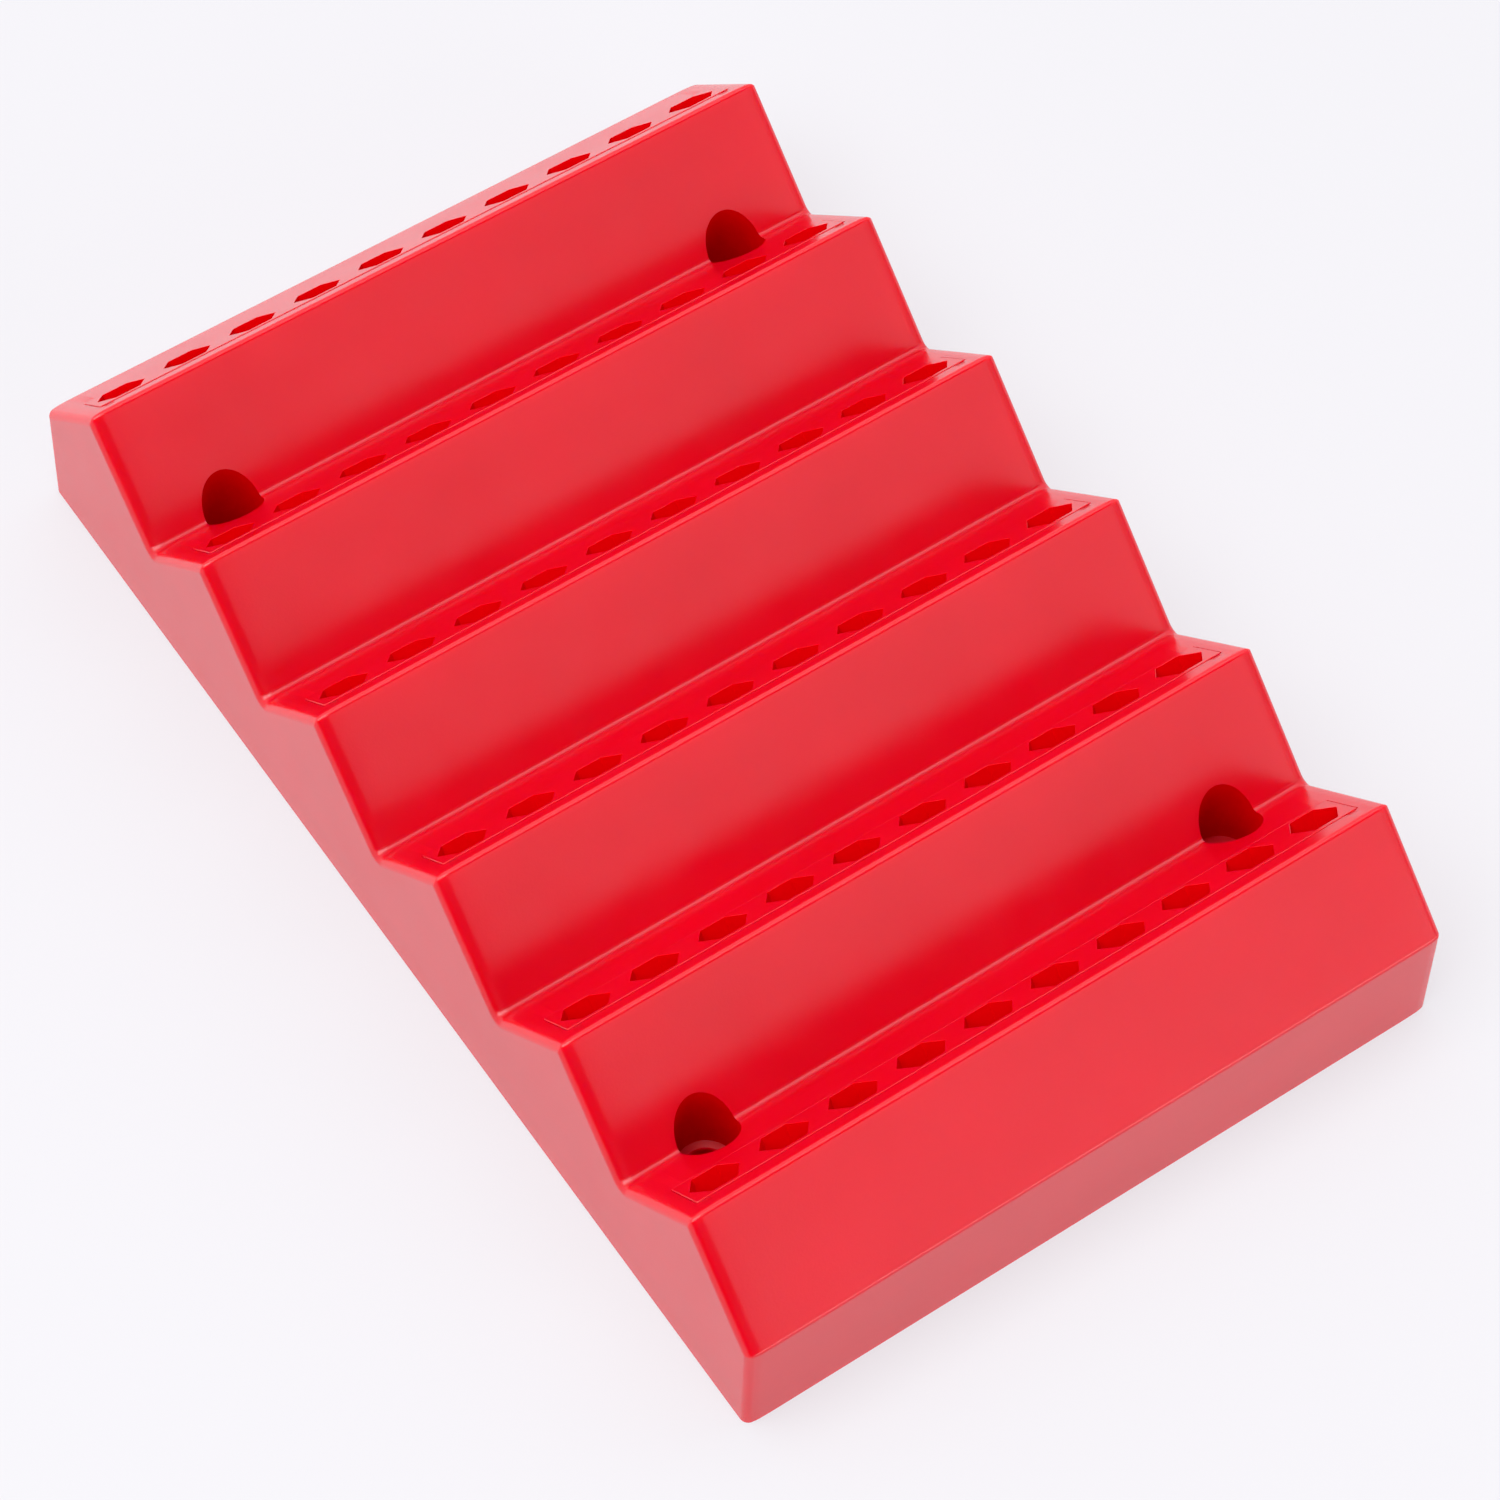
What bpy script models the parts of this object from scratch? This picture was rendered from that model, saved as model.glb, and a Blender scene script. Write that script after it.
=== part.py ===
"""A ridged plastic holder with rows of hexagonal sockets.

A hollow moulded body has six right-angled ridges across it. The back slope of each ridge has a long window,
and a socket strip fills each window from inside: a bar with ten blind hexagonal sockets, square to the slope.
Four screw bores go straight down through the first and last valleys, so the body also fixes flat to a wall.

Frame: metres, the origin at the middle of the base, +X along the rows, +Y to the back, +Z up.
"""

import math

import bmesh
import bpy
from mathutils import Matrix, Vector

MM = 0.001

# The ridged field
ROWS = 6
ROW_PITCH = 30.0 * MM
CREST_HEIGHT = 33.5 * MM  # where the two slopes of a ridge would meet if they weren't rounded
VALLEY_HEIGHT = CREST_HEIGHT - ROW_PITCH / 2  # both slopes stand at 45 degrees
SLOPE_ANGLE = math.radians(45)

# The body's outside and its draft, which makes it a little larger at the base
BASE_LENGTH = 180.6 * MM
BASE_WIDTH = 114.0 * MM
CREST_WIDTH = 112.8 * MM
END_WALL_DRAFT = 0.5 * MM
WALL = 2.0 * MM

# Rounding of the body's edges
SIDE_EDGE_RADIUS = 1.3 * MM
CREST_RADIUS = 0.7 * MM
VALLEY_RADIUS = 0.9 * MM
END_EDGE_RADIUS = 1.0 * MM
SHARPEST_RADIUS = 0.05 * MM  # what is left of a crest's radius at the body's side
ARC_STEPS = 4  # even, so that a point lies on top of each crest

# Socket strips
SOCKETS = 10
SOCKET_PITCH = 10.8 * MM
SOCKET_ACROSS_FLATS = 6.7 * MM
SOCKET_DEPTH = 13.5 * MM
STRIP_LENGTH = 106.6 * MM
STRIP_WIDTH = 8.0 * MM
STRIP_DEPTH = 15.0 * MM
STRIP_FROM_CREST = 7.5 * MM  # along the slope, from the unrounded crest to the strip's middle
STRIP_PROUD = 0.2 * MM
SHOULDER_WIDTH = 10.0 * MM
SHOULDER_THICKNESS = 1.7 * MM
FIT_GAP = 0.3 * MM

# Screw bores: a counterbore, the seat under the screw's head, and a hole on down to the base
BORE_X = 43.0 * MM
BORE_RADIUS = 4.4 * MM
SEAT_HEIGHT = 9.0 * MM
SCREW_HOLE_RADIUS = 3.2 * MM
BOSS_WALL = 1.8 * MM
ROUND_STEPS = 32

CUT_PAST = 1.0 * MM  # how far a cutter runs past the surface that it opens
SHARP_ANGLE = math.radians(35)  # edges that turn more than this stay sharp in smooth shading

RED = (0.62, 0.003, 0.012, 1.0)
BODY_ROUGHNESS = 0.32
STRIP_ROUGHNESS = 0.28


def crest_y(row):
    """The place of a ridge's crest, counted from row 0 at the back."""
    return ((ROWS - 1) / 2 - row) * ROW_PITCH


def half_width(z):
    """Half the body's width at a height, before its edges are rounded."""
    return (BASE_WIDTH - (BASE_WIDTH - CREST_WIDTH) * z / CREST_HEIGHT) / 2


def outline_corners():
    """The body's side view: unrounded corners from the foot of the back wall over the ridges to the front's."""
    base = BASE_LENGTH / 2
    wall_top_y = base - END_WALL_DRAFT
    wall_top_z = CREST_HEIGHT - (wall_top_y - crest_y(0))
    corners = [((base, 0.0), 0.0), ((wall_top_y, wall_top_z), END_EDGE_RADIUS)]
    for row in range(ROWS):
        corners.append(((crest_y(row), CREST_HEIGHT), CREST_RADIUS))
        if row < ROWS - 1:
            valley = (crest_y(row) - ROW_PITCH / 2, VALLEY_HEIGHT)
            corners.append((valley, VALLEY_RADIUS))
    corners.append(((-wall_top_y, wall_top_z), END_EDGE_RADIUS))
    corners.append(((-base, 0.0), 0.0))
    return [(Vector(point), radius) for point, radius in corners]


def meeting_point(p, along_p, q, along_q):
    """Where the line through p and the line through q cross."""
    share = (q - p).cross(along_q) / along_p.cross(along_q)
    return p + along_p * share


def inset_corners(distance, foot_z=0.0):
    """The outline's corners, moved into the body by a distance, with the feet of the end walls at foot_z."""
    points = [point for point, _ in outline_corners()]
    lines = []
    for start, end in zip(points, points[1:]):
        along = (end - start).normalized()
        lines.append((start + along.orthogonal() * distance, along))
    ground = (Vector((0.0, foot_z)), Vector((1.0, 0.0)))
    lines = [ground, *lines, ground]
    return [meeting_point(*first, *second) for first, second in zip(lines, lines[1:])]


def rounded_outline(distance):
    """The inset outline with its corners rounded, as points from back to front."""
    corners = inset_corners(distance)
    radii = [radius for _, radius in outline_corners()]
    points = [corners[0]]
    for before, corner, after, radius in zip(corners, corners[1:], corners[2:], radii[1:]):
        arriving = (corner - before).normalized()
        leaving = (after - corner).normalized()
        turn = math.atan2(arriving.cross(leaving), arriving.dot(leaving))
        if turn > 0:
            radius = max(radius - distance, SHARPEST_RADIUS)
        else:
            radius += distance
        tangent = corner - arriving * radius * math.tan(abs(turn) / 2)
        centre = tangent + arriving.orthogonal() * math.copysign(radius, turn)
        for step in range(ARC_STEPS + 1):
            turned = Matrix.Rotation(turn * step / ARC_STEPS, 2)
            points.append(centre + turned @ (tangent - centre))
    points.append(corners[-1])
    return points


def mesh_object(name, bm, flat=False):
    """Makes an object of a bmesh. Round faces are shaded smooth, up to the sharp edges."""
    bmesh.ops.recalc_face_normals(bm, faces=bm.faces)
    mesh = bpy.data.meshes.new(name)
    bm.to_mesh(mesh)
    bm.free()
    if not flat:
        mesh.shade_smooth()
        mesh.set_sharp_from_angle(angle=SHARP_ANGLE)
    made = bpy.data.objects.new(name, mesh)
    bpy.context.scene.collection.objects.link(made)
    return made


def helper(made):
    """Marks a cutter, which shapes other objects and isn't a piece itself."""
    made.hide_render = True
    made.display_type = "WIRE"
    return made


def loft(bm, rings, closed=False):
    """Joins rings of equally many points with faces, and returns the rings' vertices."""
    made = [[bm.verts.new(point) for point in ring] for ring in rings]
    count = len(made[0])
    sides = count if closed else count - 1
    for ring, following in zip(made, made[1:]):
        for this in range(sides):
            past = (this + 1) % count
            bm.faces.new((ring[this], ring[past], following[past], following[this]))
    return made


def body_block():
    """The body's outside as a solid block, its long edges rounded by rings that draw in towards each side."""
    left = []
    for step in range(ARC_STEPS + 1):
        angle = math.radians(90) * step / ARC_STEPS
        drawn_in = SIDE_EDGE_RADIUS * (1 - math.sin(angle))
        from_side = SIDE_EDGE_RADIUS * (1 - math.cos(angle))
        outline = rounded_outline(drawn_in)
        left.append([(-(half_width(z) - from_side), y, z) for y, z in outline])
    right = [[(-x, y, z) for x, y, z in ring] for ring in reversed(left)]
    bm = bmesh.new()
    rings = loft(bm, left + right)
    bm.faces.new(rings[0])
    bm.faces.new(rings[-1])
    bm.faces.new([ring[0] for ring in rings] + [ring[-1] for ring in reversed(rings)])
    return mesh_object("ridged_body", bm)


def cavity_cutter():
    """The hollow under the ridges, a wall's thickness inside the block and open below the base."""
    inside = inset_corners(WALL, foot_z=-CUT_PAST)
    bm = bmesh.new()
    rings = [[(sign * (half_width(z) - WALL), y, z) for y, z in inside] for sign in (-1, 1)]
    for ring in loft(bm, rings, closed=True):
        bm.faces.new(ring)
    return helper(mesh_object("cavity_cutter", bm, flat=True))


def screw_centres():
    """The four bores stand in the first and the last valley."""
    valley = crest_y(0) - ROW_PITCH / 2
    return [(x, y) for y in (valley, -valley) for x in (-BORE_X, BORE_X)]


def turned_cutter(name, profile):
    """A solid turned from (radius, height) steps, at each screw centre."""
    bm = bmesh.new()
    for x, y in screw_centres():
        rings = []
        for radius, z in profile:
            angles = [math.tau * step / ROUND_STEPS for step in range(ROUND_STEPS)]
            rings.append([(x + radius * math.cos(a), y + radius * math.sin(a), z) for a in angles])
        made = loft(bm, rings, closed=True)
        bm.faces.new(made[0])
        bm.faces.new(made[-1])
    return helper(mesh_object(name, bm))


def boss_cores():
    """Columns left standing in the cavity round each bore, narrower under the screw's seat."""
    wide = BORE_RADIUS + BOSS_WALL
    narrow = SCREW_HOLE_RADIUS + BOSS_WALL
    step = SEAT_HEIGHT - WALL
    top = CREST_HEIGHT + CUT_PAST
    foot = -2 * CUT_PAST
    return turned_cutter("boss_cores", [(narrow, foot), (narrow, step), (wide, step), (wide, top)])


def bore_cutters():
    """The screw hole up from the base, and the counterbore from the seat up through the slopes."""
    top = CREST_HEIGHT + 2 * CUT_PAST
    hole, bore = SCREW_HOLE_RADIUS, BORE_RADIUS
    profile = [(hole, -3 * CUT_PAST), (hole, SEAT_HEIGHT), (bore, SEAT_HEIGHT), (bore, top)]
    return turned_cutter("bore_cutters", profile)


def on_slope(row):
    """The frame of a back slope at its strip's middle: X along the row, Y down the slope, Z out of it."""
    down = Vector((0.0, math.cos(SLOPE_ANGLE), -math.sin(SLOPE_ANGLE)))
    middle = Vector((0.0, crest_y(row), CREST_HEIGHT)) + down * STRIP_FROM_CREST
    return Matrix.Translation(middle) @ Matrix.Rotation(-SLOPE_ANGLE, 4, "X")


def add_box(bm, low, high, frame):
    """Adds a box between two corners, given in a frame."""
    size = [b - a for a, b in zip(low, high)]
    centre = [(a + b) / 2 for a, b in zip(low, high)]
    place = frame @ Matrix.Translation(centre) @ Matrix.Diagonal((*size, 1.0))
    bmesh.ops.create_cube(bm, size=1.0, matrix=place)


def window_cutters():
    """The windows through the back slopes, one fit gap larger than a strip all round."""
    x = STRIP_LENGTH / 2 + FIT_GAP
    y = STRIP_WIDTH / 2 + FIT_GAP
    bm = bmesh.new()
    for row in range(ROWS):
        add_box(bm, (-x, -y, -WALL - CUT_PAST), (x, y, 2 * CUT_PAST), on_slope(row))
    return helper(mesh_object("window_cutters", bm, flat=True))


def cut(target, cutter):
    """Takes a cutter's shape out of an object."""
    modifier = target.modifiers.new(cutter.name, "BOOLEAN")
    modifier.operation = "DIFFERENCE"
    modifier.solver = "EXACT"
    modifier.object = cutter


def socket_cutters():
    """Hexagonal prisms for one strip's sockets, corners pointing along the row."""
    corner = SOCKET_ACROSS_FLATS / math.sqrt(3)
    bm = bmesh.new()
    for number in range(SOCKETS):
        x = (number - (SOCKETS - 1) / 2) * SOCKET_PITCH
        angles = [math.radians(60) * step for step in range(6)]
        mouth = [(x + corner * math.cos(a), corner * math.sin(a), CUT_PAST) for a in angles]
        end = bm.faces.new([bm.verts.new(point) for point in mouth])
        drawn = bmesh.ops.extrude_face_region(bm, geom=[end])["geom"]
        moved = [item for item in drawn if isinstance(item, bmesh.types.BMVert)]
        bmesh.ops.translate(bm, verts=moved, vec=(0.0, 0.0, -SOCKET_DEPTH - CUT_PAST))
    return helper(mesh_object("socket_cutters", bm, flat=True))


def strip_mesh():
    """One socket strip in its slope's frame: its face a little proud, and a shoulder that meets the wall inside."""
    face = STRIP_WIDTH / 2
    shoulder = SHOULDER_WIDTH / 2
    shoulder_top = -WALL - FIT_GAP
    shoulder_foot = shoulder_top - SHOULDER_THICKNESS
    one_side = [(face, STRIP_PROUD), (face, shoulder_top), (shoulder, shoulder_top)]
    one_side += [(shoulder, shoulder_foot), (face, shoulder_foot), (face, -STRIP_DEPTH)]
    section = one_side + [(-y, z) for y, z in reversed(one_side)]
    bm = bmesh.new()
    rings = [[(x, y, z) for y, z in section] for x in (-STRIP_LENGTH / 2, STRIP_LENGTH / 2)]
    for ring in loft(bm, rings, closed=True):
        bm.faces.new(ring)
    blank = mesh_object("strip_blank", bm, flat=True)
    cut(blank, socket_cutters())
    bpy.context.view_layer.update()
    finished = blank.evaluated_get(bpy.context.evaluated_depsgraph_get())
    mesh = bpy.data.meshes.new_from_object(finished)
    bpy.data.objects.remove(blank)
    mesh.name = "socket_strip"
    return mesh


def plastic(name, roughness):
    """The red moulded plastic."""
    made = bpy.data.materials.new(name)
    made.use_nodes = True
    shader = made.node_tree.nodes["Principled BSDF"]
    shader.inputs["Base Color"].default_value = RED
    shader.inputs["Roughness"].default_value = roughness
    shader.inputs["Metallic"].default_value = 0.0
    return made


def main():
    for old in list(bpy.data.objects):
        bpy.data.objects.remove(old)
    body = body_block()
    cavity = cavity_cutter()
    cut(cavity, boss_cores())
    for cutter in (cavity, window_cutters(), bore_cutters()):
        cut(body, cutter)
    body.data.materials.append(plastic("body_plastic", BODY_ROUGHNESS))
    mesh = strip_mesh()
    mesh.materials.append(plastic("strip_plastic", STRIP_ROUGHNESS))
    for row in range(ROWS):
        strip = bpy.data.objects.new(f"socket_strip_{row + 1}", mesh)
        strip.matrix_world = on_slope(row)
        bpy.context.scene.collection.objects.link(strip)


main()
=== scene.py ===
"""The looks of the ridged socket holder: fine meshes for its body and strips, red plastic, soft light."""

import math

import bmesh
import bpy
from mathutils import Matrix, Vector


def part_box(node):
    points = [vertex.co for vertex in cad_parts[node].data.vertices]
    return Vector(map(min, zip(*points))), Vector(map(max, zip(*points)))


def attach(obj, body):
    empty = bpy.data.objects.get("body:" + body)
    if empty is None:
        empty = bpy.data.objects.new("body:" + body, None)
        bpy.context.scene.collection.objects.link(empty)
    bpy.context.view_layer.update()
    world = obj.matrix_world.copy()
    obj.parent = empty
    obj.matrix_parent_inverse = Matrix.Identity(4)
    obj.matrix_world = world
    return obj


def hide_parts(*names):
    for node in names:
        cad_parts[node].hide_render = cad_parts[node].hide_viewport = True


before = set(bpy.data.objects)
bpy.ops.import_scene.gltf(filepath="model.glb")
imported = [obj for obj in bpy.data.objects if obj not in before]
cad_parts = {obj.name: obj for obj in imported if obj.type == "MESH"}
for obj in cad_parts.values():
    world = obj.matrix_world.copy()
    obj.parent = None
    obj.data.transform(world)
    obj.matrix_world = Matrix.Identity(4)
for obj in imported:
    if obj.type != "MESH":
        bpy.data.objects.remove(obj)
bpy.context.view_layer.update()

MM = 0.001
ROWS = 6
SOCKETS = 10

# Sizes that the frame gives
body_low, body_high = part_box("ridged_body")
strip_boxes = [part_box(f"socket_strip_{row + 1}") for row in range(ROWS)]
strip_middles = [(low + high) / 2 for low, high in strip_boxes]
ROW_PITCH = strip_middles[0].y - strip_middles[1].y
BASE_LENGTH = body_high.y - body_low.y
BASE_WIDTH = body_high.x - body_low.x
STRIP_LENGTH = strip_boxes[0][1].x - strip_boxes[0][0].x

# Sizes of the body
CREST_HEIGHT = 33.5 * MM
SLOPE_ANGLE = math.radians(45)
TOP_NARROWER = 1.2 * MM
END_WALL_DRAFT = 0.5 * MM
WALL = 2.0 * MM
SIDE_EDGE_RADIUS = 1.3 * MM
CREST_RADIUS = 0.7 * MM
VALLEY_RADIUS = 0.9 * MM
END_EDGE_RADIUS = 1.0 * MM
SHARPEST_RADIUS = 0.05 * MM
ARC_STEPS = 8

# A slope falls away before its rounded side edges: gently over the long fade, and faster over the edge fade
FADE_LENGTH = 4.0 * MM
FADE_DROP = 0.08 * MM
FADE_STEPS = 6
EDGE_FADE_LENGTH = 0.9 * MM
EDGE_FADE_DROP = 0.07 * MM
EDGE_FADE_STEPS = 4

# Sizes of the strips and their sockets
SOCKET_PITCH = 10.8 * MM
SOCKET_ACROSS_FLATS = 6.7 * MM
SOCKET_DEPTH = 13.5 * MM
SOCKET_CORNER_RADIUS = 0.2 * MM
SOCKET_RIM = 0.06 * MM
STRIP_WIDTH = 8.0 * MM
STRIP_DEPTH = 15.0 * MM
STRIP_FROM_CREST = 7.5 * MM
STRIP_PROUD = 0.1 * MM
STRIP_RIM = 0.12 * MM
STRIP_CORNER_RADIUS = 0.25 * MM
STRIP_SOLID_END = 1.0 * MM
SHOULDER_WIDTH = 10.0 * MM
SHOULDER_THICKNESS = 1.7 * MM
FIT_GAP = 0.3 * MM
JOINT_LINE = 0.13 * MM
WINDOW_SHIFT = 0.07 * MM
WINDOW_RIM = 0.1 * MM
CORNER_STEPS = 4
RIM_STEPS = 4
RIM_TURN = math.radians(80)

# Sizes of the screw bores
BORE_X = 43.0 * MM
BORE_RADIUS = 4.4 * MM
SEAT_HEIGHT = 9.0 * MM
SCREW_HOLE_RADIUS = 3.2 * MM
SEAT_DISH = 0.2 * MM
SEAT_RIM = 0.2 * MM
SEAT_RIM_FLARE = 0.3
BOSS_WALL = 1.8 * MM
ROUND_STEPS = 96

CUT_PAST = 1.0 * MM
TOLERANCE = 0.05 * MM
SHARP_ANGLE = math.radians(35)

# The plastics: roughness, height of the grain, and how far red light travels under the surface
BODY_ROUGHNESS = 0.205
BODY_GRAIN = 0.014 * MM
SEAT_ROUGHNESS = 0.235
SEAT_SPECULAR = 0.2
STRIP_ROUGHNESS = 0.2
STRIP_GRAIN = 0.008 * MM
ROUGHNESS_SPREAD = 0.03
PLASTIC_IOR = 1.54
LIGHT_TRAVEL = 2.0 * MM

# The camera stands in front on the left and looks down
CAMERA_PLACE = Vector((-209.17, -290.62, 557.71)) * MM
CAMERA_RIGHT = Vector((0.82573, -0.56356, 0.02378))
CAMERA_UP = Vector((0.46468, 0.70354, 0.53769))
CAMERA_LENS = 111.53
CAMERA_SENSOR = 36.0

# The light tent's plain strength, and the strength that the camera sees
TENT_STRENGTH = 1.05
SEEN_STRENGTH = 0.93

# The floor's own glow, its half width, and how far it lies under the body
FLOOR_GLOW = 0.605
FLOOR_REACH = 4.0
FLOOR_CLEARANCE = 0.05 * MM

# Patches of the tent: middle, angles at which a patch is full and gone, and factor on the tent's strength
TENT_PATCHES = [
    ((-0.20, -0.87, 0.45), 18, 26, 0.04),  # mirrored by the left edges of the front slopes
    ((-0.68, -0.68, 0.25), 14, 24, 0.04),  # mirrored by the left edges, nearer to the left wall
    ((0.32, -0.46, 0.83), 12, 26, 0.05),  # mirrored by a back slope and then by the front slope behind it
    ((0.32, 0.15, 0.94), 12, 22, 1.8),  # mirrored by the crests
    ((0.80, -0.58, 0.20), 10, 22, 0.35),  # mirrored by the right edges of the front slopes
]


def make_camera():
    camera = bpy.data.cameras.new("camera")
    camera.lens = CAMERA_LENS
    camera.sensor_width = CAMERA_SENSOR
    camera.clip_start = 0.01
    camera.clip_end = 50.0
    made = bpy.data.objects.new("camera", camera)
    right = CAMERA_RIGHT.normalized()
    back = right.cross(CAMERA_UP).normalized()
    turned = Matrix((right, back.cross(right), back)).transposed()
    made.matrix_world = Matrix.Translation(CAMERA_PLACE) @ turned.to_4x4()
    bpy.context.scene.collection.objects.link(made)
    bpy.context.scene.camera = made


# ---- Shapes ----


def crest_y(row):
    return ((ROWS - 1) / 2 - row) * ROW_PITCH


def half_width(z):
    return (BASE_WIDTH - TOP_NARROWER * z / CREST_HEIGHT) / 2


def outline_corners():
    """The body's side view: unrounded corners from the back wall's foot over the ridges to the front's."""
    base = BASE_LENGTH / 2
    wall_top_y = base - END_WALL_DRAFT
    wall_top_z = CREST_HEIGHT - (wall_top_y - crest_y(0))
    corners = [((base, 0.0), 0.0), ((wall_top_y, wall_top_z), END_EDGE_RADIUS)]
    for row in range(ROWS):
        corners.append(((crest_y(row), CREST_HEIGHT), CREST_RADIUS))
        if row < ROWS - 1:
            valley = (crest_y(row) - ROW_PITCH / 2, CREST_HEIGHT - ROW_PITCH / 2)
            corners.append((valley, VALLEY_RADIUS))
    corners.append(((-wall_top_y, wall_top_z), END_EDGE_RADIUS))
    corners.append(((-base, 0.0), 0.0))
    return [(Vector(point), radius) for point, radius in corners]


def meeting_point(p, along_p, q, along_q):
    share = (q - p).cross(along_q) / along_p.cross(along_q)
    return p + along_p * share


def inset_corners(distance, foot_z=0.0):
    """The outline's corners, moved into the body by a distance, with the feet of the end walls at foot_z."""
    points = [point for point, _ in outline_corners()]
    lines = []
    for start, end in zip(points, points[1:]):
        along = (end - start).normalized()
        lines.append((start + along.orthogonal() * distance, along))
    ground = (Vector((0.0, foot_z)), Vector((1.0, 0.0)))
    lines = [ground, *lines, ground]
    return [meeting_point(*first, *second) for first, second in zip(lines, lines[1:])]


def rounded_outline(distance):
    """The inset outline with its corners rounded, as points from back to front."""
    corners = inset_corners(distance)
    radii = [radius for _, radius in outline_corners()]
    points = [corners[0]]
    for before, corner, after, radius in zip(corners, corners[1:], corners[2:], radii[1:]):
        arriving = (corner - before).normalized()
        leaving = (after - corner).normalized()
        turn = math.atan2(arriving.cross(leaving), arriving.dot(leaving))
        if turn > 0:
            radius = max(radius - distance, SHARPEST_RADIUS)
        else:
            radius += distance
        tangent = corner - arriving * radius * math.tan(abs(turn) / 2)
        centre = tangent + arriving.orthogonal() * math.copysign(radius, turn)
        for step in range(ARC_STEPS + 1):
            turned = Matrix.Rotation(turn * step / ARC_STEPS, 2)
            points.append(centre + turned @ (tangent - centre))
    points.append(corners[-1])
    return points


def loft(bm, rings, closed=True):
    """Joins rings of equally many points with faces, caps both ends, and returns the rings' vertices."""
    made = [[bm.verts.new(point) for point in ring] for ring in rings]
    count = len(made[0])
    sides = count if closed else count - 1
    for ring, following in zip(made, made[1:]):
        for this in range(sides):
            past = (this + 1) % count
            bm.faces.new((ring[this], ring[past], following[past], following[this]))
    bm.faces.new(made[0])
    bm.faces.new(made[-1])
    return made


def mesh_object(name, bm):
    bmesh.ops.recalc_face_normals(bm, faces=bm.faces)
    mesh = bpy.data.meshes.new(name)
    bm.to_mesh(mesh)
    bm.free()
    made = bpy.data.objects.new(name, mesh)
    bpy.context.scene.collection.objects.link(made)
    return made


def cut_and_settle(target, cutters):
    """Takes the cutters' shapes out of an object, keeps the result as its mesh, and removes the cutters."""
    for cutter in cutters:
        modifier = target.modifiers.new(cutter.name, "BOOLEAN")
        modifier.operation = "DIFFERENCE"
        modifier.solver = "EXACT"
        modifier.object = cutter
    bpy.context.view_layer.update()
    finished = target.evaluated_get(bpy.context.evaluated_depsgraph_get())
    mesh = bpy.data.meshes.new_from_object(finished)
    target.modifiers.clear()
    target.data = mesh
    for cutter in cutters:
        bpy.data.objects.remove(cutter)
    return target


def smooth(target):
    """Shades the round stretches smooth, while large flat faces keep their own direction."""
    target.data.shade_smooth()
    target.data.set_sharp_from_angle(angle=SHARP_ANGLE)
    weighting = target.modifiers.new("weighted_normals", "WEIGHTED_NORMAL")
    weighting.keep_sharp = True


def faded(along):
    """How far a slope lies under its middle, at a distance from its rounded side edge."""
    long_fade = FADE_DROP * (1 - along / FADE_LENGTH) ** 2
    short_fade = EDGE_FADE_DROP * max(0.0, 1 - along / EDGE_FADE_LENGTH) ** 2
    return long_fade + short_fade


def ridged_block():
    """The body's outside: its side edges are rounded, and its slopes fade down a little before each edge."""
    section = []
    for step in range(ARC_STEPS):
        angle = math.radians(90) * step / ARC_STEPS
        from_side = SIDE_EDGE_RADIUS * (1 - math.cos(angle))
        section.append((from_side, faded(0.0) + SIDE_EDGE_RADIUS * (1 - math.sin(angle))))
    near = [EDGE_FADE_LENGTH * step / EDGE_FADE_STEPS for step in range(EDGE_FADE_STEPS + 1)]
    far = [FADE_LENGTH * step / FADE_STEPS for step in range(2, FADE_STEPS + 1)]
    section += [(SIDE_EDGE_RADIUS + along, faded(along)) for along in near + far]
    left = []
    for from_side, drawn_in in section:
        outline = rounded_outline(drawn_in)
        left.append([(-(half_width(z) - from_side), y, z) for y, z in outline])
    right = [[(-x, y, z) for x, y, z in ring] for ring in reversed(left)]
    bm = bmesh.new()
    rings = loft(bm, left + right, closed=False)
    bm.faces.new([ring[0] for ring in rings] + [ring[-1] for ring in reversed(rings)])
    return mesh_object("body_shell", bm)


def cavity_cutter():
    inside = inset_corners(WALL, foot_z=-CUT_PAST)
    bm = bmesh.new()
    loft(bm, [[(sign * (half_width(z) - WALL), y, z) for y, z in inside] for sign in (-1, 1)])
    return mesh_object("cavity_cutter", bm)


def screw_centres():
    valley = crest_y(0) - ROW_PITCH / 2
    return [(x, y) for y in (valley, -valley) for x in (-BORE_X, BORE_X)]


def turned_cutter(name, profile):
    """A solid turned from (radius, height) steps, at each screw centre."""
    bm = bmesh.new()
    for x, y in screw_centres():
        rings = []
        for radius, z in profile:
            angles = [math.tau * step / ROUND_STEPS for step in range(ROUND_STEPS)]
            rings.append([(x + radius * math.cos(a), y + radius * math.sin(a), z) for a in angles])
        loft(bm, rings)
    return mesh_object(name, bm)


def boss_cores():
    wide = BORE_RADIUS + BOSS_WALL
    narrow = SCREW_HOLE_RADIUS + BOSS_WALL
    step = SEAT_HEIGHT - WALL
    profile = [(narrow, -2 * CUT_PAST), (narrow, step), (wide, step), (wide, CREST_HEIGHT + CUT_PAST)]
    return turned_cutter("boss_cores", profile)


def bore_cutters():
    hole, bore = SCREW_HOLE_RADIUS, BORE_RADIUS
    profile = [(hole, -3 * CUT_PAST), (hole, SEAT_HEIGHT - SEAT_DISH - 2 * SEAT_RIM)]
    profile += [(hole + SEAT_RIM_FLARE * SEAT_RIM, SEAT_HEIGHT - SEAT_DISH - SEAT_RIM)]
    profile += [(hole + SEAT_RIM, SEAT_HEIGHT - SEAT_DISH), (bore, SEAT_HEIGHT)]
    profile += [(bore, CREST_HEIGHT + 2 * CUT_PAST)]
    return turned_cutter("bore_cutters", profile)


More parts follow.
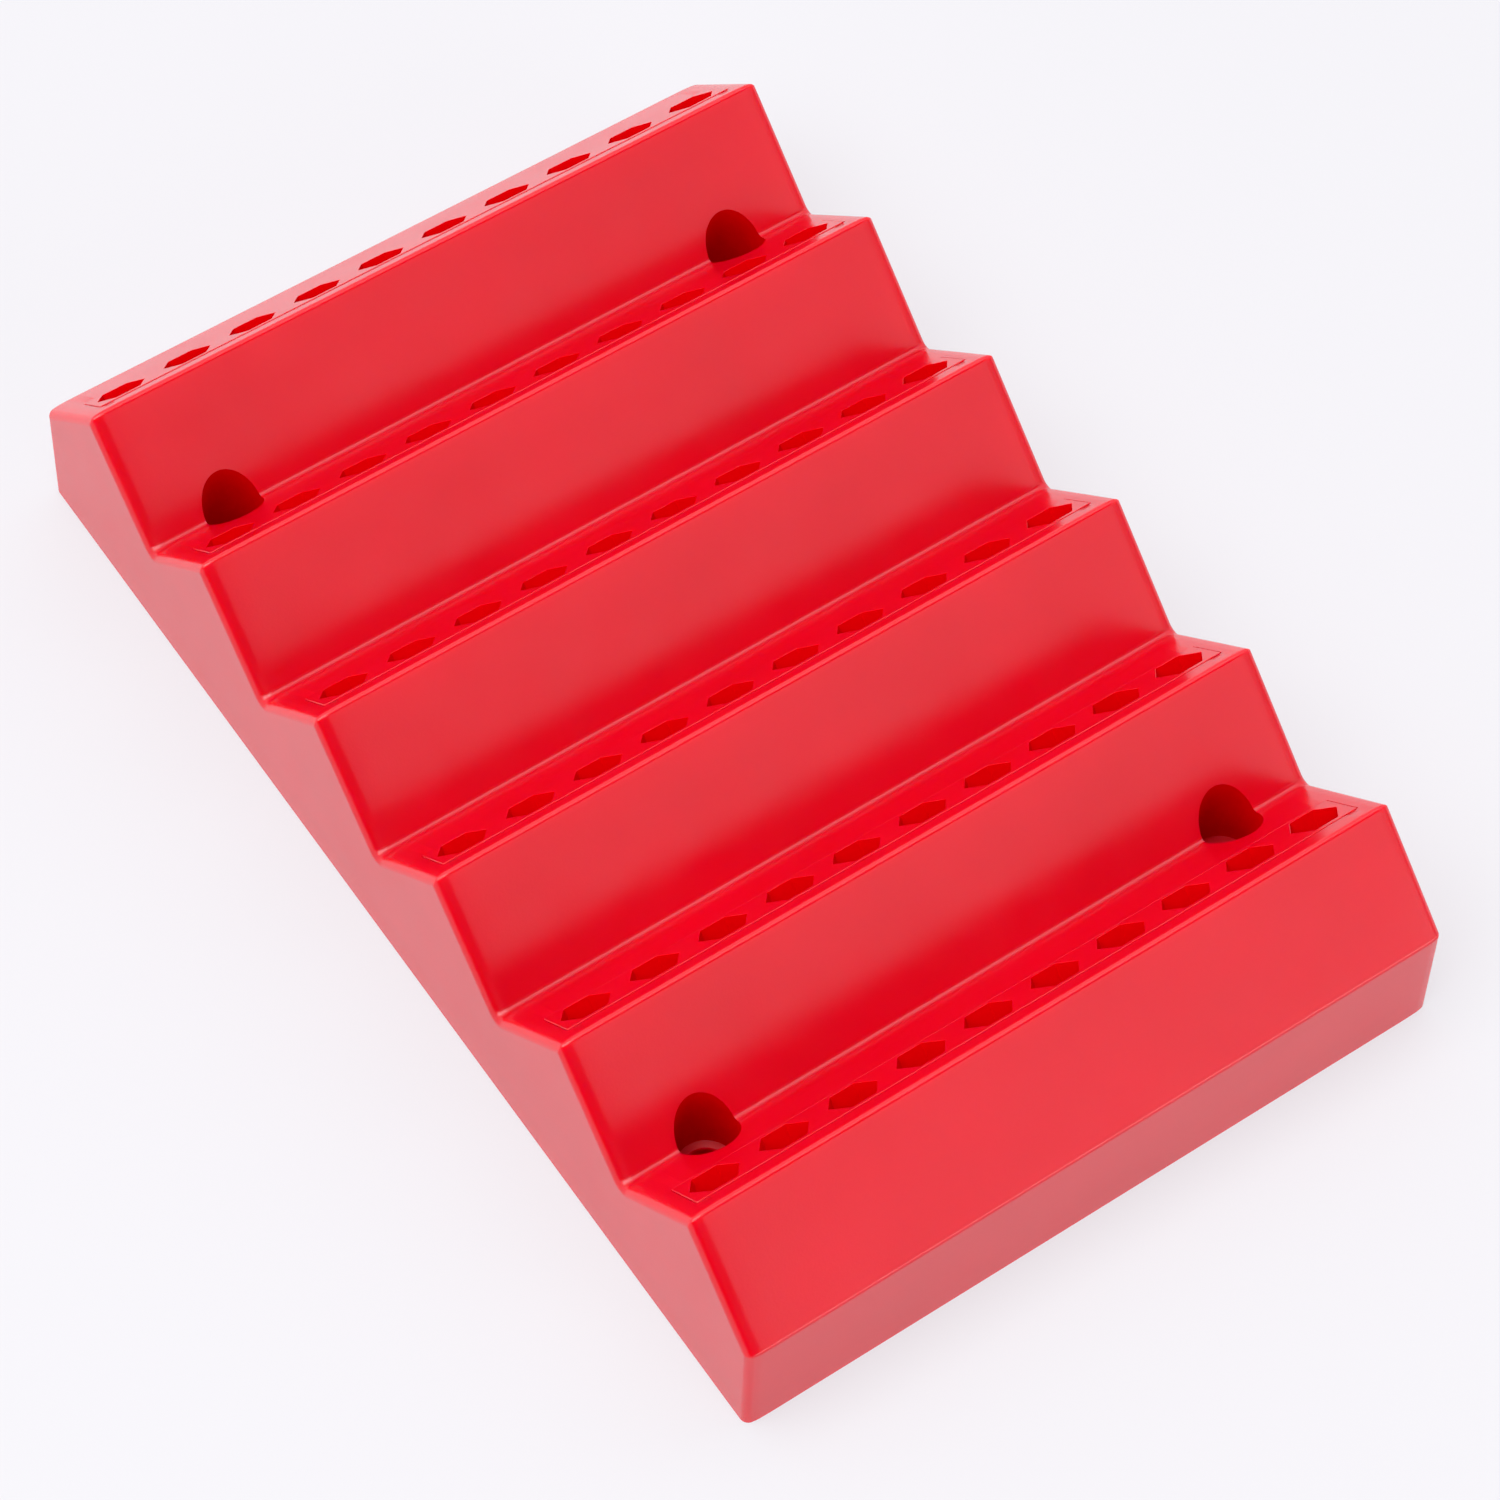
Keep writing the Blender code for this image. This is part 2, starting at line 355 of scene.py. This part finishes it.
def on_slope(row):
    """The frame of a back slope at its strip's middle: X along the row, Y down the slope, Z out of it."""
    down = Vector((0.0, math.cos(SLOPE_ANGLE), -math.sin(SLOPE_ANGLE)))
    middle = Vector((0.0, crest_y(row), CREST_HEIGHT)) + down * STRIP_FROM_CREST
    return Matrix.Translation(middle) @ Matrix.Rotation(-SLOPE_ANGLE, 4, "X")


def soft_polygon(corners, radius):
    """A convex polygon, given anticlockwise, grown by a radius that rounds its corners."""
    points = []
    for before, corner, after in zip(corners[-1:] + corners, corners, corners[1:] + corners[:1]):
        first = corner - before
        second = after - corner
        start = math.atan2(-first.x, first.y)
        turn = math.atan2(first.cross(second), first.dot(second))
        for step in range(CORNER_STEPS + 1):
            angle = start + turn * step / CORNER_STEPS
            points.append(corner + Vector((math.cos(angle), math.sin(angle))) * radius)
    return points


def rectangle(length, width, radius):
    """Corners that soft_polygon grows by the radius to a rectangle of that length and width."""
    x = length / 2 - radius
    y = width / 2 - radius
    return [Vector(corner) for corner in ((x, y), (-x, y), (-x, -y), (x, -y))]


def hexagon(x, across_flats, radius):
    """Corners that soft_polygon grows by the radius to a hexagon, corners pointing along X."""
    reach = (across_flats / 2 - radius) / math.cos(math.radians(30))
    turns = [math.radians(60) * step for step in range(6)]
    return [Vector((x + reach * math.cos(a), reach * math.sin(a))) for a in turns]


def flared_levels(rim, face):
    """Pairs of growth and height for a hollow's mouth, whose rim turns outwards as it nears the face."""
    levels = []
    for step in range(RIM_STEPS + 1):
        angle = RIM_TURN * step / RIM_STEPS
        levels.append((rim * (1 - math.cos(angle)), face - rim * (1 - math.sin(angle))))
    levels.append((levels[-1][0], face + 2 * CUT_PAST))
    return levels


def rings_of(corners, radius, levels, place=Matrix.Identity(4)):
    """Rings of a soft polygon, one for each pair of growth and height."""
    rings = []
    for growth, z in levels:
        outline = soft_polygon(corners, radius + growth)
        rings.append([place @ Vector((p.x, p.y, z)) for p in outline])
    return rings


def window_cutters():
    """The windows in the back slopes: their mouths fit the strips closely, and they widen inside."""
    radius = STRIP_CORNER_RADIUS + JOINT_LINE
    length = STRIP_LENGTH + 2 * JOINT_LINE
    width = STRIP_WIDTH + 2 * JOINT_LINE
    corners = rectangle(length, width, radius)
    levels = [(FIT_GAP - JOINT_LINE, -WALL - CUT_PAST), (FIT_GAP - JOINT_LINE, -WALL / 2)]
    levels += [(0.0, -WALL / 2)] + flared_levels(WINDOW_RIM, 0.0)
    bm = bmesh.new()
    for row in range(ROWS):
        place = on_slope(row) @ Matrix.Translation((WINDOW_SHIFT, WINDOW_SHIFT, 0.0))
        loft(bm, rings_of(corners, radius, levels, place))
    return mesh_object("window_cutters", bm)


def socket_cutters():
    bm = bmesh.new()
    for number in range(SOCKETS):
        x = (number - (SOCKETS - 1) / 2) * SOCKET_PITCH
        corners = hexagon(x, SOCKET_ACROSS_FLATS, SOCKET_CORNER_RADIUS)
        levels = [(0.0, -SOCKET_DEPTH)] + flared_levels(SOCKET_RIM, STRIP_PROUD)
        loft(bm, rings_of(corners, SOCKET_CORNER_RADIUS, levels))
    return mesh_object("socket_cutters", bm)


def strip_blank():
    """A strip before its sockets are cut, with rounded edges on its face and a shoulder inside the wall."""
    radius = STRIP_CORNER_RADIUS
    corners = rectangle(STRIP_LENGTH, STRIP_WIDTH, radius)
    shoulder = (SHOULDER_WIDTH - STRIP_WIDTH) / 2
    shoulder_top = -WALL - FIT_GAP
    shoulder_foot = shoulder_top - SHOULDER_THICKNESS
    profile = [(0.0, -STRIP_DEPTH, 0.0), (0.0, shoulder_foot, 0.0), (0.0, shoulder_foot, shoulder)]
    profile += [(0.0, shoulder_top, shoulder), (0.0, shoulder_top, 0.0)]
    for step in range(RIM_STEPS + 1):
        angle = math.radians(90) * step / RIM_STEPS
        rim_height = STRIP_PROUD - STRIP_RIM * (1 - math.sin(angle))
        profile.append((-STRIP_RIM * (1 - math.cos(angle)), rim_height, 0.0))
    rings = []
    for growth, z, wider in profile:
        outline = soft_polygon(corners, radius + growth)
        rings.append([(p.x, p.y + math.copysign(wider, p.y), z) for p in outline])
    bm = bmesh.new()
    loft(bm, rings)
    return mesh_object("strip_blank", bm)


def line_hollows(target, material, is_inside):
    """Gives the faces that lie in a hollow their own material."""
    target.data.materials.append(material)
    for face in target.data.polygons:
        if is_inside(face.center):
            face.material_index = len(target.data.materials) - 1


def in_a_bore(place):
    near = min((place.xy - Vector(centre)).length for centre in screw_centres())
    return near < BORE_RADIUS + TOLERANCE


def on_a_seat(place):
    seat_foot = SEAT_HEIGHT - SEAT_DISH - 2 * SEAT_RIM
    return in_a_bore(place) and seat_foot < place.z < SEAT_HEIGHT + TOLERANCE


def in_a_socket(place):
    """Whether a place in a strip's own frame lies on a socket's inside."""
    along_row = abs(place.x) < STRIP_LENGTH / 2 - STRIP_SOLID_END
    across_row = abs(place.y) < (SOCKET_ACROSS_FLATS + SOCKET_RIM) / 2
    return along_row and across_row and place.z < STRIP_PROUD - SOCKET_RIM / 2


def make_body():
    body = ridged_block()
    cavity = cut_and_settle(cavity_cutter(), [boss_cores()])
    cut_and_settle(body, [cavity, window_cutters(), bore_cutters()])
    body.data.materials.clear()
    body.data.materials.append(red_plastic("body_plastic", BODY_ROUGHNESS, BODY_GRAIN))
    # The bores get painted shade: a purer red copy of the plastic with no reflections.
    line_hollows(body, painted_hollow_shade("bore_painted_shade", (0.6, 0.0, 0.0006), (0.65, 0.0, 0.0008)), in_a_bore)
    line_hollows(body, red_plastic("seat_plastic", SEAT_ROUGHNESS, STRIP_GRAIN, SEAT_SPECULAR), on_a_seat)
    smooth(body)
    return body


def make_strips():
    blank = cut_and_settle(strip_blank(), [socket_cutters()])
    blank.data.materials.clear()
    blank.data.materials.append(red_plastic("strip_plastic", STRIP_ROUGHNESS, STRIP_GRAIN))
    # The sockets get painted shade: a purer red copy of the plastic with no reflections.
    line_hollows(blank, painted_hollow_shade("socket_painted_shade", (0.64, 0.0, 0.001), (0.68, 0.0, 0.002)), in_a_socket)
    strips = []
    for row in range(ROWS):
        mesh = blank.data.copy()
        mesh.transform(on_slope(row))
        strip = bpy.data.objects.new(f"strip_{row + 1}", mesh)
        bpy.context.scene.collection.objects.link(strip)
        smooth(strip)
        strips.append(strip)
    bpy.data.objects.remove(blank)
    return strips


# ---- Materials ----


class Nodes:
    """Short ways to add nodes to a material and link them."""

    def __init__(self, name):
        self.material = bpy.data.materials.new(name)
        self.material.use_nodes = True
        self.tree = self.material.node_tree
        self.shader = self.tree.nodes["Principled BSDF"]

    def add(self, kind, inputs=None, **settings):
        node = self.tree.nodes.new(kind)
        for key, value in settings.items():
            setattr(node, key, value)
        for key, value in (inputs or {}).items():
            self.feed(node, key, value)
        return node

    def feed(self, node, key, value):
        if isinstance(value, bpy.types.NodeSocket):
            self.tree.links.new(value, node.inputs[key])
        else:
            node.inputs[key].default_value = value

    def maths(self, operation, *values):
        return self.add("ShaderNodeMath", dict(enumerate(values)), operation=operation).outputs["Value"]

    def noise(self, scale, detail):
        where = self.add("ShaderNodeTexCoord").outputs["Object"]
        inputs = {"Vector": where, "Scale": scale, "Detail": detail}
        return self.add("ShaderNodeTexNoise", inputs).outputs["Fac"]

    def ramp(self, value, stops):
        """A ramp between two colours, each given with its place."""
        node = self.add("ShaderNodeValToRGB", {"Fac": value})
        for element, (place, colour) in zip(node.color_ramp.elements, stops):
            element.position = place
            element.color = (*colour, 1.0)
        return node.outputs["Color"]

    def spread(self, value, low, high):
        """Stretches the middle of a noise between two values."""
        inputs = {"Value": value, "From Min": 0.3, "From Max": 0.7, "To Min": low, "To Max": high}
        return self.add("ShaderNodeMapRange", inputs).outputs["Result"]


def red_plastic(name, roughness, grain, specular=0.5):
    """Moulded plastic with a fine grain, under whose surface red light travels a little way."""
    nodes = Nodes(name)
    shader = nodes.shader
    blotches = nodes.noise(55.0, 3.0)
    colour = nodes.ramp(blotches, [(0.3, (0.60, 0.0, 0.0100)), (0.7, (0.64, 0.0, 0.0115))])
    nodes.feed(shader, "Base Color", colour)
    smoother, rougher = roughness - ROUGHNESS_SPREAD, roughness + ROUGHNESS_SPREAD
    nodes.feed(shader, "Roughness", nodes.spread(nodes.noise(160.0, 4.0), smoother, rougher))
    nodes.feed(shader, "IOR", PLASTIC_IOR)
    nodes.feed(shader, "Specular IOR Level", specular)
    nodes.feed(shader, "Subsurface Weight", 1.0)
    nodes.feed(shader, "Subsurface Radius", (1.0, 0.08, 0.08))
    nodes.feed(shader, "Subsurface Scale", LIGHT_TRAVEL)
    fine = nodes.noise(3200.0, 2.0)
    bump = nodes.add("ShaderNodeBump", {"Height": fine, "Strength": 1.0, "Distance": grain})
    nodes.feed(shader, "Normal", bump.outputs["Normal"])
    return nodes.material


def painted_hollow_shade(name, dark, light):
    """Painted shade for a hollow: a purer red copy of the plastic that reflects nothing, for where light only
    comes after many bounces in the plastic.
    """
    nodes = Nodes(name)
    shader = nodes.shader
    nodes.feed(shader, "Base Color", nodes.ramp(nodes.noise(140.0, 3.0), [(0.3, dark), (0.7, light)]))
    nodes.feed(shader, "Roughness", nodes.spread(nodes.noise(300.0, 2.0), 0.5, 0.6))
    nodes.feed(shader, "IOR", PLASTIC_IOR)
    nodes.feed(shader, "Specular IOR Level", 0.0)
    return nodes.material


def paper_white():
    """Paper that glows evenly, except where the body covers it, and that is clear from below."""
    nodes = Nodes("floor_paper")
    place = nodes.add("ShaderNodeSeparateXYZ", {"Vector": nodes.add("ShaderNodeTexCoord").outputs["Object"]})
    glow = None
    for axis, reach in (("X", BASE_WIDTH / 2), ("Y", BASE_LENGTH / 2)):
        distance = nodes.maths("ABSOLUTE", place.outputs[axis])
        inputs = {"Value": distance, "From Min": reach - 3 * WALL, "From Max": reach - WALL}
        clear = nodes.add("ShaderNodeMapRange", inputs).outputs["Result"]
        glow = nodes.maths("MAXIMUM", glow, clear) if glow else clear
    glow = nodes.maths("MULTIPLY", glow, FLOOR_GLOW)
    nodes.feed(nodes.shader, "Emission Strength", glow)
    tints = [(0.3, (0.196, 0.194, 0.2)), (0.7, (0.204, 0.202, 0.208))]
    nodes.feed(nodes.shader, "Base Color", nodes.ramp(nodes.noise(3.0, 2.0), tints))
    from_below = nodes.add("ShaderNodeNewGeometry").outputs["Backfacing"]
    nodes.feed(nodes.shader, "Alpha", nodes.maths("SUBTRACT", 1.0, from_below))
    nodes.feed(nodes.shader, "Roughness", 0.7)
    nodes.feed(nodes.shader, "Specular IOR Level", 0.2)
    nodes.feed(nodes.shader, "Emission Color", (0.99, 0.98, 1.02, 1.0))
    return nodes.material


# ---- Stage ----


def make_floor():
    bm = bmesh.new()
    bmesh.ops.create_grid(bm, x_segments=8, y_segments=8, size=FLOOR_REACH)
    floor = mesh_object("floor", bm)
    floor.location.z = body_low.z - FLOOR_CLEARANCE
    floor.data.materials.append(paper_white())


def make_world():
    """A bright tent with dim stretches. The camera itself sees plain white."""
    world = bpy.data.worlds.new("studio")
    world.use_nodes = True
    bpy.context.scene.world = world
    tree = world.node_tree
    background = tree.nodes["Background"]
    link = tree.links.new
    coordinate = tree.nodes.new("ShaderNodeTexCoord")
    strength = None
    for direction, inner, outer, factor in TENT_PATCHES:
        dot = tree.nodes.new("ShaderNodeVectorMath")
        dot.operation = "DOT_PRODUCT"
        dot.inputs[1].default_value = Vector(direction).normalized()
        link(coordinate.outputs["Generated"], dot.inputs[0])
        patch = tree.nodes.new("ShaderNodeMapRange")
        patch.interpolation_type = "SMOOTHSTEP"
        patch.inputs["From Min"].default_value = math.cos(math.radians(outer))
        patch.inputs["From Max"].default_value = math.cos(math.radians(inner))
        patch.inputs["To Min"].default_value = 1.0
        patch.inputs["To Max"].default_value = factor
        link(dot.outputs["Value"], patch.inputs["Value"])
        product = tree.nodes.new("ShaderNodeMath")
        product.operation = "MULTIPLY"
        link(patch.outputs["Result"], product.inputs[0])
        product.inputs[1].default_value = TENT_STRENGTH
        if strength:
            link(strength, product.inputs[1])
        strength = product.outputs["Value"]
    path = tree.nodes.new("ShaderNodeLightPath")
    seen = tree.nodes.new("ShaderNodeMix")
    seen.data_type = "FLOAT"
    link(path.outputs["Is Camera Ray"], seen.inputs["Factor"])
    link(strength, seen.inputs["A"])
    seen.inputs["B"].default_value = SEEN_STRENGTH
    background.inputs["Color"].default_value = (0.995, 0.985, 1.02, 1.0)
    link(seen.outputs["Result"], background.inputs["Strength"])


def area_light(name, place, size, power, in_reflections=True):
    """A rectangular light that points at the origin."""
    light = bpy.data.lights.new(name, "AREA")
    light.shape = "RECTANGLE"
    light.size, light.size_y = size
    light.energy = power
    made = bpy.data.objects.new(name, light)
    made.visible_glossy = in_reflections
    made.location = place
    made.rotation_euler = (-Vector(place)).to_track_quat("-Z", "Y").to_euler()
    bpy.context.scene.collection.objects.link(made)


make_camera()
make_world()
area_light("overhead_softbox", (-0.6, 0.0, 1.5), (1.3, 1.5), 22.0)
area_light("low_front_strip", (0.72, -2.08, 0.24), (1.92, 0.4), 7.5)
area_light("front_fill", (0.3, -2.7, 1.32), (1.6, 1.0), 14.4, in_reflections=False)
make_floor()

body = make_body()
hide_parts("ridged_body")
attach(body, "root")

for row, strip in enumerate(make_strips()):
    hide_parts(f"socket_strip_{row + 1}")
    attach(strip, "root")

bpy.context.scene.view_settings.view_transform = "Standard"
